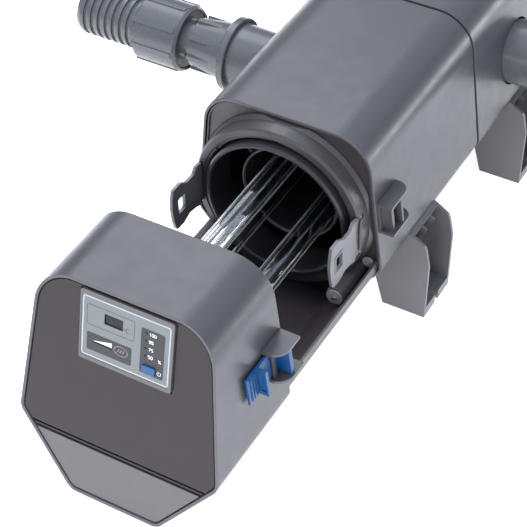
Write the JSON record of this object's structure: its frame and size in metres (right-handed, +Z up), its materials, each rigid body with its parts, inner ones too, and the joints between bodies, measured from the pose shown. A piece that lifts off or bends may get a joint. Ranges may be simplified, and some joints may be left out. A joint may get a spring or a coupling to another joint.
{
  "type": "pond uv clarifier",
  "caption": "Pond UV clarifier: hexagon-section tank on slotted feet with barbed unions, and a lamp head that slides out on a rail with its quartz sleeves.",
  "frame": {"origin": "on the floor, under the middle of the whole object's bounding box", "axes": "+X to the right seen from the lamp head, +Y back along the tank, +Z up"},
  "size_m": [0.7, 0.8416, 0.261],
  "materials": {
    "housing": "fine moulded texture, satin",
    "cover": "fine moulded texture, matte",
    "internal": "smooth moulded, satin",
    "fitting": "smooth moulded, semi-gloss",
    "rubber": "matte",
    "stainless": "turned steel",
    "quartz": "clear fused quartz",
    "lamp": "frosted lamp glass",
    "blue": "moulded, satin",
    "membrane": "printed film, satin",
    "window": "tinted window",
    "electronics": "board and potted boxes",
    "led": "dark lens",
    "lead": "matte flexible sheath"
  },
  "bodies": {
    "tank": {"front_shell": "housing", "rear_shell": "housing", "feet": "housing", "catch": "housing", "vessel": "internal", "flow_tube": "internal", "vessel_saddles": "internal", "front_plate": "internal", "clamp_ring": "internal", "guide_pins": "internal", "left_port": "fitting", "left_union_body": "fitting", "left_hose_tail": "fitting", "right_port": "fitting", "right_union_body": "fitting", "right_hose_tail": "fitting", "seam_gasket": "rubber", "left_union_gasket": "rubber", "right_union_gasket": "rubber", "plate_screws": "stainless", "ear_pins": "stainless", "guide_pin_washers": "stainless", "guide_pin_screws": "stainless", "foot_screws": "stainless"},
    "head": {"head_shell": "housing", "front_cover": "cover", "lower_cover": "cover", "panel_bezel": "cover", "panel_membrane": "membrane", "display_window": "window", "display_module": "electronics", "indicator_leds": "led", "button_switch": "electronics", "control_board": "electronics", "board_posts": "internal", "bulkhead": "internal", "bulkhead_screws": "stainless", "spigot_seal": "rubber", "quartz_sleeves": "quartz", "sleeve_seals": "rubber", "gland_nuts": "internal", "lamp_sockets": "internal", "uv_lamps": "lamp", "ballasts": "electronics", "guide_rail": "internal", "rail_screws": "stainless", "latch_bracket": "housing", "cable_gland": "internal", "mains_cable": "lead", "mains_plug": "lead"},
    "ear_right": {"ear_right": "internal"},
    "ear_left": {"ear_left": "internal"},
    "latch": {"latch_slide": "blue"},
    "power_button": {"power_button": "blue"},
    "left_union_nut": {"left_union_nut": "fitting"},
    "right_union_nut": {"right_union_nut": "fitting"}
  },
  "joints": [
    {"name": "head_slide", "type": "slide", "parent": "tank", "child": "head", "axis": [0, 1, 0], "range_m": [-0.15, 0.18]},
    {"name": "ear_right_swing", "type": "hinge", "parent": "tank", "child": "ear_right", "pos_m": [0.0865, -0.10856, 0.162], "axis": [0, 0, 1], "range_deg": [-2, 3.5]},
    {"name": "ear_left_swing", "type": "hinge", "parent": "tank", "child": "ear_left", "pos_m": [-0.0865, -0.10856, 0.162], "axis": [0, 0, -1], "range_deg": [-2, 3.5]},
    {"name": "latch_slide_lock", "type": "slide", "parent": "head", "child": "latch", "axis": [0, 1, 0], "range_m": [0, 0.017]},
    {"name": "power_button_press", "type": "slide", "parent": "head", "child": "power_button", "axis": [0, 0.9735, -0.2288], "range_m": [0, 0.0012]},
    {"name": "left_union_nut_turn", "type": "hinge", "parent": "tank", "child": "left_union_nut", "pos_m": [-0.245, 0.08044, 0.162], "axis": [1, 0, 0], "continuous": true},
    {"name": "right_union_nut_turn", "type": "hinge", "parent": "tank", "child": "right_union_nut", "pos_m": [0.245, 0.22544, 0.162], "axis": [1, 0, 0], "continuous": true}
  ]
}
